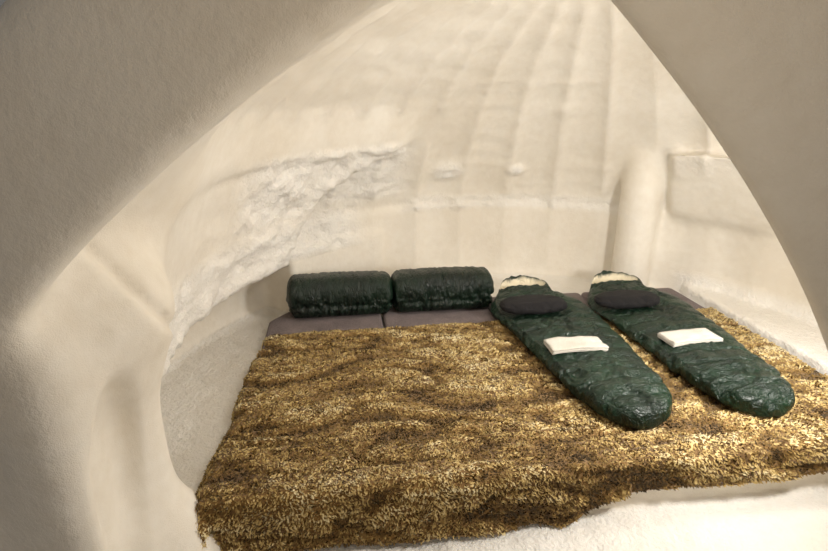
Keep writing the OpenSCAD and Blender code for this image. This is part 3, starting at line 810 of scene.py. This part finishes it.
def bell(x, middle, width):
    """1 at the middle, falling off smoothly on both sides."""
    return np.exp(-((x - middle) / width) ** 2)


def make_bag(name, cad_node, x, turn, dip_x, seed, satin):
    """A mummy bag that narrows to its foot, stitched across, with its hood open and a dip under the towel."""
    t = np.concatenate([[0.004, 0.012, 0.025, 0.045], np.arange(0.07, 1.80, 0.02),
        [1.81, 1.827, 1.84, 1.849]])
    half = np.maximum(bag_half_width(t) - 0.012, 0.02)
    across = np.linspace(0, TURN, 48, endpoint=False)
    c, k = np.cos(across), np.sin(across)
    rings = []
    for ti, w in zip(t, half):
        ends = between(ti, 0.0, 0.10) * between(1.855 - ti, 0.0, 0.07)
        tall = (0.060 + 0.022 * between(0.5 - ti, 0.0, 0.4)) * (0.35 + 0.65 * ends)
        z = BED_TOP + 0.036 + np.where(k > 0, tall * np.abs(k) ** 0.8, -0.030 * np.abs(k) ** 0.55)
        u = np.sign(c) * np.abs(c) ** 0.85 * w
        rings.append(np.column_stack([u, np.full(len(u), ti), z]))
    obj = loft(name, rings, satin)
    remeshed(obj, 0.015)
    p = points_of(obj.data)
    u, ti, z = p.T
    top = between(z, BED_TOP + 0.03, BED_TOP + 0.05)
    bend = 0.02 * lumps(flat(u, ti), (0.25, 0.2, 1), seed)
    phase = (ti + bend) / 0.135
    seam = bell(phase, np.round(phase), 0.07)
    bowl = between(ti, 1.66, 1.72) * (1 - between(hood_ring(u, ti, 0.15), 0.85, 1.02)) * top
    held = np.maximum.reduce([seam * 0.75, between(BED_TOP + 0.02 - z, 0.0, 0.008), bowl])
    p[:, 2] -= top * seam * 0.007 * (1 - bowl)
    dip = 1 - between(np.hypot((u - 0.035 - dip_x) / 0.25, (ti - 1.25) / 0.15), 0.75, 1.15)
    p[:, 2] -= 0.022 * dip * top
    held = np.maximum(held, 0.8 * dip * top)
    rim = bell(hood_ring(u, ti, 0.165), 1, 0.13) * between(ti, 1.62, 1.72) * top
    collar = bell(ti, 1.635, 0.035) * (1 - between(np.abs(u), 0.14, 0.2)) * top
    p[:, 2] += rim * 0.050 + collar * 0.018 - bowl * 0.045
    set_points(obj.data, p)
    filled(obj, held, pressure=3.0, slack=0.10, cap=0.014)
    p = points_of(obj.data)
    u, ti, z = p.T
    w = np.maximum(bag_half_width(ti), 0.03)
    top = between(z, BED_TOP + 0.03, BED_TOP + 0.05)
    lining = between(ti, 1.675, 1.69) * (1 - between(hood_ring(u, ti, 0.155), 0.97, 1.02)) * top
    foot = 1 - between(ti, 0.35, 0.75)
    q = flat(u, ti)
    slanted = flat(u + 0.35 * ti, ti - 0.35 * u + 0.02 * lumps(q, 0.12, seed + 4))
    cross = ridged(slanted, (0.10, 0.034, 1), seed + 3)
    big = ridged(q + 0.03 * lumps(q, 0.1, seed + 9)[:, None], (0.10, 0.075, 1), seed + 6)
    zipper = bell(w - np.abs(u), 0.045, 0.008) * (u < 0) * between(ti, 0.3, 0.4)
    middle = 1 - between(np.abs(u) / w, 0.5, 0.72)
    lift = (1 - foot) * 0.011 * cross * middle + foot * 0.018 * big + zipper * 0.010
    p[:, 2] += top * (1 - lining) * lift
    p[:, 0] -= 0.055 * between(ti, 0.6, 1.7)
    set_points(obj.data, from_bed(turned(p, turn, x, BAG_FOOT_Y)))
    store(obj.data, "lining", lining)
    obj.data.shade_smooth()
    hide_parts(cad_node)
    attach(obj, "root")


LINING = srgb(232, 222, 196)
green = satin_material("bag_green", srgb(24, 50, 33), srgb(12, 29, 20), (0.8, 2.0, 1.0), 0.31)
make_bag("mummy_bag_left", "sleeping_bag_1", 0.225, -1.5, -0.118, 101, green)
make_bag("mummy_bag_right", "sleeping_bag_2", 0.870, -5.0, -0.153, 131, green)

# The two bags rolled up at the head of the bed

ROLL_LENGTH = 0.738
ROLL_Y = 1.22
ROLL_FOOT_Z = 0.3210


def make_roll(name, cad_node, x, seed, satin):
    """A bag rolled up across the bed, gathered in folds, with the fold of its cover along the front."""
    z0 = ROLL_FOOT_Z
    s = np.concatenate([[0.004, 0.014, 0.03, 0.05], np.arange(0.075, ROLL_LENGTH - 0.07, 0.02),
        ROLL_LENGTH - np.array([0.05, 0.03, 0.014, 0.004])])
    across = np.linspace(0, TURN, 56, endpoint=False)
    c, k = np.cos(across), np.sin(across)
    rings = []
    for si in s:
        e = min(si, ROLL_LENGTH - si)
        r = 0.148 * (1 - (1 - min(e / 0.06, 1)) ** 2.6) ** 0.5 + 0.002
        a = np.sign(c) * np.abs(c) ** 0.66 * r
        b = np.sign(k) * np.abs(k) ** 0.72 * r * 0.95
        height = np.maximum(z0 + 0.137 + b, z0 + 0.003 + 0.02 * (b + r) * (b < 0))
        rings.append(np.column_stack([np.full(len(a), si), a, height]))
    obj = loft(name, rings, satin)
    remeshed(obj, 0.0138)
    p = points_of(obj.data)
    fold = bell(p[:, 2] - z0, 0.10, 0.012) * (p[:, 1] < 0)
    held = np.maximum(between(z0 + 0.03 - p[:, 2], 0.0, 0.015), fold * 0.6)
    p[:, 1] += fold * 0.012
    set_points(obj.data, p)
    filled(obj, held, pressure=3.0, slack=0.12, cap=0.012)
    p = points_of(obj.data)
    n = normals_of(obj.data)
    angle = np.arctan2(p[:, 2] - z0 - 0.13, p[:, 1])
    q = flat(p[:, 0] + 0.02 * lumps(p, 0.09, seed + 5), angle * 0.15)
    gather = ridged(q, (0.034, 0.16, 1), seed)
    low = between(z0 + 0.19 - p[:, 2], 0.0, 0.08)
    depth = (0.005 + 0.011 * low) * (gather - 0.5) * between(p[:, 2], z0 + 0.01, z0 + 0.04)
    set_points(obj.data, from_bed(p + n * depth[:, None] + np.array([x, ROLL_Y, 0])))
    store(obj.data, "lining", np.zeros(len(p)))
    obj.data.shade_smooth()
    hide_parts(cad_node)
    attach(obj, "root")


# The rolled bags take a darker copy of the bags' green: painted shade on the same satin.
shaded_copy_green = satin_material("bag_green_painted_shade", srgb(19, 40, 27), srgb(9, 22, 15), (2.4, 0.8, 0.8), 0.36)
make_roll("rolled_bag_left", "bolster_bag_1", -1.540, 201, shaded_copy_green)
make_roll("rolled_bag_right", "bolster_bag_2", -0.800, 231, shaded_copy_green)

# Head pillows

PILLOW_HALF_SIZE = (0.245, 0.124, 0.036)
PILLOW_FOOT_Z = BED_TOP + 0.098


def make_pillow(name, cad_node, x, y, seed, cover):
    lx, ly, lz = PILLOW_HALF_SIZE
    across = np.linspace(0, TURN, 64, endpoint=False)
    c, k = np.cos(across), np.sin(across)
    square = 1 / (np.abs(c) ** 1.7 + np.abs(k) ** 2.3) ** 0.5
    plan = (square * (1 - 0.05 * np.cos(2 * across) ** 2))[:, None] * np.column_stack([lx * c, ly * k])
    rings = [ring_at(plan * np.cos(a) ** 0.55, lz * math.sin(a)) for a in np.radians(np.arange(-85, 86, 10))]
    obj = loft(name, rings, cover)
    remeshed(obj, 0.010)
    held = bell(points_of(obj.data)[:, 2], 0, 0.004) * 0.9
    filled(obj, held, pressure=4.0, slack=0.05, cap=0.010)
    p = points_of(obj.data)
    n = normals_of(obj.data)
    p = p + n * (0.0035 * ridged(flat(p[:, 0], p[:, 1]), (0.09, 0.05, 1), seed))[:, None]
    p[:, 2] = np.maximum(p[:, 2] + PILLOW_FOOT_Z + 0.030, PILLOW_FOOT_Z)
    set_points(obj.data, from_bed(p + np.array([x, y, 0])))
    obj.data.shade_smooth()
    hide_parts(cad_node)
    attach(obj, "root")


dusky = woven_material("pillow_dusk", srgb(22, 19, 22), srgb(12, 10, 12), threads=600.0)
make_pillow("head_pillow_left", "pillow_1", 0.125, 0.805, 301, dusky)
make_pillow("head_pillow_right", "pillow_2", 0.805, 0.805, 311, dusky)

# Towels

TOWEL_LAYERS = 5
TOWEL_GAP = 0.0056
TOWEL_DEPTH = 0.146
TOWEL_HALF_WIDTH = 0.163
TOWEL_FOOT_Z = BED_TOP + 0.112


def towel_path():
    """The towel's section: five layers to and fro, joined by round bends."""
    half = TOWEL_DEPTH / 2 - TOWEL_GAP / 2
    path = []
    for i in range(TOWEL_LAYERS):
        z = 0.0035 + TOWEL_GAP * i
        side = 1 if i % 2 == 0 else -1
        path += [(y, z) for y in np.linspace(-half, half, 12)[::side]]
        if i < TOWEL_LAYERS - 1:
            path += [(side * (half + TOWEL_GAP / 2 * math.cos(a)), z + TOWEL_GAP / 2 * (1 + math.sin(a)))
                     for a in np.radians((-54, -18, 18, 54))]
    return path


def make_towel(name, cad_node, x, y, turn, seed, terry):
    """A towel of 33 x 75 cm folded to and fro in five layers."""
    path = towel_path()
    xs = np.linspace(-TOWEL_HALF_WIDTH, TOWEL_HALF_WIDTH, 28)
    verts = [(xx, yy, zz) for (yy, zz) in path for xx in xs]
    obj = new_piece(name, verts, grid_faces(len(path), len(xs)), terry)
    p = points_of(obj.data)
    lay = p[:, 2] / 0.028
    p[:, 2] += lay * (0.006 * lumps(p, (0.08, 0.06, 10), seed)
        + 0.004 * ridged(p, (0.12, 0.03, 10), seed + 2))
    p[:, 2] -= 0.010 * (np.abs(p[:, 0]) / TOWEL_HALF_WIDTH) ** 3
    p[:, 0] *= 1 + 0.012 * lumps(p * np.array([0, 1, 60]), (1, 0.2, 0.6), seed + 1)
    p[:, 2] += TOWEL_FOOT_Z
    set_points(obj.data, from_bed(turned(p, turn, x, y)))
    modified(obj, "SOLIDIFY", thickness=0.0046, offset=0)
    obj.data.shade_smooth()
    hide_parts(cad_node)
    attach(obj, "root")


terry = woven_material("terry_cream", srgb(243, 238, 226), srgb(228, 220, 204), threads=260.0, depth=0.003,
    roughness=0.95, sheen=0.5)
make_towel("folded_towel_left", "towel_1", 0.160, 0.215, -1.0, 401, terry)
make_towel("folded_towel_right", "towel_2", 0.875, 0.215, 4.0, 411, terry)

# Fur throws

THROW_LENGTH = 1.48
THROW_STEP = 0.019
FOLD_HEIGHT = 0.028
PILE_LENGTH = 0.013
BLADE_HALF_WIDTH = 0.0040
BLADES_PER_M2 = 15500


def build_fur_material(name):
    """Golden-brown pile, drifting from brown to gold, paler at the tips, with painted light on the crests of
    the throw's folds and painted shade in the hollows between them.
    """
    m, t, shader = material(name)
    place = object_place(t)
    wide = node(t, "ShaderNodeTexNoise", Vector=place, Scale=3.2, Detail=3.0).outputs["Fac"]
    clump = node(t, "ShaderNodeTexNoise", Vector=place, Scale=42.0, Detail=2.0, Roughness=0.6).outputs["Fac"]
    # The noises lie round 0.5, so the sum starts that much below 0
    shade = 0.04 - 0.5 * (0.6 + 1.0)
    # The fold attribute paints shade into the hollows of the folds and light onto their crests.
    for source, share in ((attribute(t, "tip"), 0.10), (attribute(t, "tuft"), 0.05),
                          (attribute(t, "fold"), 0.62), (wide, 0.6), (clump, 1.0)):
        shade = math_node(t, "MULTIPLY_ADD", source, share, shade)
    colour = ramp(t, shade, [(0.0, srgb(60, 44, 20)), (0.28, srgb(140, 110, 57)), (0.55, srgb(212, 184, 120)),
                             (0.85, srgb(248, 234, 190))])
    fill_in(t, shader, Base_Color=colour, Roughness=0.55, Specular_IOR_Level=0.3, Sheen_Weight=0.3,
        Sheen_Tint=(0.9, 0.75, 0.45, 1))
    return m


def fur_surface(x0, x1, drop, side):
    """A throw on the bed that hangs over its front edge by drop, and over its left side by side."""
    r = 0.022
    quarter = r * 1.57
    us = np.arange(-side, x1 - x0 + THROW_STEP * 0.5, THROW_STEP)
    us[-1] = x1 - x0
    vs = np.arange(-drop, THROW_LENGTH + THROW_STEP * 0.5, THROW_STEP)
    vs[-1] = THROW_LENGTH
    u, v = np.meshgrid(us, vs)
    u, v = u.ravel(), v.ravel()
    over_u = np.clip(-u, 0, None)
    width = x1 - x0
    shorter = (drop > 0.2) * 0.36 * between(u, width - 0.36, width)
    wave = 0.05 * lumps(flat(u + x0, v * 0), (0.13, 1, 1), 19)
    over_v = np.clip(-v, 0, None) * (1 - shorter + wave)
    hang = np.hypot(over_u, over_v)
    bent = np.minimum(hang, quarter)
    below = np.clip(hang - quarter, 0, None)
    fall = r * (1 - np.cos(bent / r)) + below * 0.985
    loose = 0.14 + 0.6 * (1 - between(v, 0.3, 0.75)) * (over_u > 0)
    reach = r * np.sin(bent / r) + below * loose
    angle = np.arctan2(over_v, np.maximum(over_u, 1e-9))
    skew = 0.05 * between(v, 0.9, 1.45) - 0.04 * (1 - between(v, 0.0, 0.6))
    skew = skew * np.clip(1 - u / 0.8, 0, 1.1) * (side > 0)
    x = x0 + skew + np.clip(u, 0, None) - reach * np.cos(angle) * (over_u > 0)
    y = BED_FRONT + np.clip(v, 0, None) - reach * np.where(over_u > 0, np.sin(angle), 1.0) * (over_v > 0)
    z = MATTRESS_TOP + 0.006 - fall
    return us, vs, u, v, np.column_stack([x, y, z])


def fur_wrinkles(u, v):
    """Heights of the throw's folds: long low ridges across the bed and some that slant."""
    p = np.column_stack([u, v, np.full_like(u, 21.7)])
    bend = 0.10 * lumps(p, (0.5, 0.5, 1), 8) + 0.03 * lumps(p, (0.16, 0.3, 1), 15)
    q = np.column_stack([u, v + bend + 0.08 * u, p[:, 2]])
    ridges = between(ridged(q, (0.60, 0.11, 1), 9), -0.1, 0.95)
    small = between(ridged(q, (0.18, 0.05, 1), 12), 0.0, 1.0)
    mats = between(crumpled(p, (0.08, 0.035, 1), 18, 2), -0.6, 0.6)
    gaps = between(ridged(q + 0.4, (0.45, 0.10, 1), 28), 0.62, 0.9)
    return 0.45 * ridges + 0.25 * small + 0.30 * mats - 0.60 * gaps


def random_between(tree, low, high):
    """A random value for each point or blade: a vector where low is one."""
    vector = isinstance(low, tuple)
    n = node(tree, "FunctionNodeRandomValue", data_type="FLOAT_VECTOR" if vector else "FLOAT")
    first = 0 if vector else 2
    n.inputs[first].default_value = low
    n.inputs[first + 1].default_value = high
    return n.outputs[0 if vector else 1]


def fur_blade():
    """A bent blade of fur, one metre high until it is placed."""
    w = BLADE_HALF_WIDTH
    blade = bpy.data.meshes.new("fur_blade")
    blade.from_pydata([(-w, 0, 0), (w, 0, 0), (w * 0.85, 0.22, 0.55), (-w * 0.85, 0.22, 0.55), (0, 0.62, 1)],
        [], [(0, 1, 2, 3), (3, 2, 4)])
    store(blade, "tip", [0, 0, 0.55, 0.55, 1])
    return linked("fur_blade", blade)


def pile_tree(blade, seed, fur):
    """A Geometry Nodes tree that stands blades on a surface, along its hair_dir."""
    g, given, result = group("fur_pile",
        [("Surface", "Geometry", None), ("Density", "Float", BLADES_PER_M2),
         ("Pile Height", "Float", PILE_LENGTH), ("Seed", "Int", seed)],
        [("Pile", "Geometry")], kind="GeometryNodeTree")
    points = node(g, "GeometryNodeDistributePointsOnFaces", Mesh=given["Surface"], Density=given["Density"],
        Seed=given["Seed"])
    hair = node(g, "GeometryNodeInputNamedAttribute", data_type="FLOAT_VECTOR", Name="hair_dir")
    shaken = node(g, "ShaderNodeVectorMath", operation="ADD")
    put(g, shaken.inputs[0], hair.outputs[0])
    put(g, shaken.inputs[1], random_between(g, (-0.28, -0.28, -0.15), (0.28, 0.28, 0.2)))
    align = node(g, "FunctionNodeAlignRotationToVector", axis="Z", Vector=shaken.outputs[0])
    spin = node(g, "FunctionNodeAxisAngleToRotation", Axis=(0, 0, 1), Angle=random_between(g, 0.0, TURN))
    stand = node(g, "FunctionNodeRotateRotation", rotation_space="LOCAL", Rotation=align.outputs[0],
        Rotate_By=spin.outputs[0])
    high = math_node(g, "MULTIPLY", random_between(g, 0.65, 1.2), given["Pile Height"])
    size = node(g, "ShaderNodeCombineXYZ", X=1.0, Y=high, Z=high)
    skin = node(g, "GeometryNodeStoreNamedAttribute", data_type="FLOAT_VECTOR", Name="skin",
        Geometry=points.outputs["Points"], Value=points.outputs["Normal"])
    info = node(g, "GeometryNodeObjectInfo", Object=blade)
    blades = node(g, "GeometryNodeInstanceOnPoints", Points=skin.outputs[0],
        Instance=info.outputs["Geometry"], Rotation=stand.outputs[0], Scale=size.outputs[0])
    tufts = node(g, "GeometryNodeStoreNamedAttribute", data_type="FLOAT", domain="INSTANCE", Name="tuft",
        Geometry=blades.outputs[0], Value=random_between(g, 0.0, 1.0))
    real = node(g, "GeometryNodeRealizeInstances", Geometry=tufts.outputs[0])
    painted = node(g, "GeometryNodeSetMaterial", Geometry=real.outputs[0], Material=fur)
    put(g, result[0], painted.outputs[0])
    return g


def add_pile(surface, name, seed, fur):
    """Stands a pile of fur on a copy of the surface; its shading follows the surface more than the blades."""
    blade = fur_blade()
    pile = linked(name, surface.data.copy())
    pile.modifiers.new("pile", "NODES").node_group = pile_tree(blade, seed, fur)
    applied(pile)
    soft = vectors(pile.data.attributes["skin"].data, "vector") + 0.35 * normals_of(pile.data)
    soft /= np.linalg.norm(soft, axis=1)[:, None]
    pile.data.shade_smooth()
    pile.data.normals_split_custom_set_from_vertices(soft.tolist())
    bpy.data.objects.remove(blade)
    return pile


def make_throw(name, cad_node, x0, x1, drop, side, seed, fur, backing):
    us, vs, u, v, p = fur_surface(x0, x1, drop, side)
    obj = new_piece(name, from_bed(p), grid_faces(len(vs), len(us)), backing)
    n = normals_of(obj.data)
    if n[:, 2].mean() < 0:
        obj.data.flip_normals()
        n = -n
    fold = fur_wrinkles(u + x0, v)
    high = FOLD_HEIGHT * np.clip(fold, 0, 1)
    edge = np.minimum.reduce([between(THROW_LENGTH - v, -0.01, 0.05), between(u + side, -0.01, 0.04),
        between(x1 - x0 - u, -0.01, 0.03)])
    set_points(obj.data, points_of(obj.data) + n * (high * (0.35 + 0.65 * edge))[:, None])
    n = normals_of(obj.data)
    here = points_of(obj.data)
    comb = np.column_stack([1.1 * lumps(here, 0.035, 61) + 0.3 * lumps(here, 0.2, 63),
        1.1 * lumps(here, 0.035, 62) - 0.55, np.full(len(here), -0.05)])
    # The fold heights also go to the fur's colour, as painted shade in the hollows and painted light on the
    # crests.
    store(obj.data, "fold", fold)
    layer = obj.data.attributes.new("hair_dir", "FLOAT_VECTOR", "POINT")
    layer.data.foreach_set("vector", (n * 0.36 + comb).astype(np.float32).ravel())
    pile = add_pile(obj, name + "_pile", seed, fur)
    modified(obj, "SOLIDIFY", thickness=0.005, offset=-1)
    for piece in (obj, pile):
        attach(piece, "root")
    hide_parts(cad_node)
    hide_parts(cad_node)


fur = build_fur_material("golden_fur")
backing = woven_material("fur_backing", srgb(150, 114, 58), srgb(104, 76, 38), threads=300.0, sheen=0.2)
make_throw("fur_left", "fur_throw_left", BED_LEFT, 0.0597, 0.262, 0.10, 11, fur, backing)
make_throw("fur_middle", "fur_throw_middle", 0.060, 0.4997, 0.156, 0, 12, fur, backing)
make_throw("fur_right", "fur_throw_right", 0.500, BED_RIGHT, 0.156, 0, 13, fur, backing)

# Light and floor


def area_lamp(name, place, look_at, size, power, colour):
    data = bpy.data.lights.new(name, "AREA")
    data.shape = "DISK"
    data.size = size
    data.energy = power
    data.color = colour
    obj = linked(name, data)
    obj.location = place
    obj.rotation_euler = (Vector(look_at) - Vector(place)).to_track_quat("-Z", "Y").to_euler()


WARM = (1.0, 0.955, 0.90)
area_lamp("lamp_right", (0.95, -1.60, 1.35), (-0.7, 0.2, 0.7), 0.35, 34, WARM)
area_lamp("lamp_shelf", (1.50, -1.00, 0.95), (0.6, 0.1, 0.4), 0.25, 7, WARM)
area_lamp("lamp_crown", (-0.1, -0.9, 2.1), (-0.3, -0.3, 0.3), 1.2, 13, WARM)
area_lamp("lamp_outside", (2.5, -7.0, 2.6), (-1.2, -1.8, 0.6), 4.0, 27, (1, 0.78, 0.57))
area_lamp("lamp_front", (-0.52, -3.10, 2.0), (-0.70, -1.5, 1.8), 0.4, 3.4, (1, 0.82, 0.60))

world = bpy.data.worlds.new("sky")
SCENE.world = world
world.use_nodes = True
fill_in(world.node_tree, world.node_tree.nodes["Background"], Color=(1, 0.95, 0.89, 1), Strength=0.14)

GROUND_CORNERS = [(x, y, -0.001) for x, y in ((-15, -15), (15, -15), (15, 15), (-15, 15))]
m, t, shader = material("pale_ground")
fill_in(t, shader, Base_Color=(0.78, 0.77, 0.75, 1), Roughness=0.8)
floor = new_piece("ground", GROUND_CORNERS, [(0, 1, 2, 3)], m)

SCENE.view_settings.view_transform = "Standard"
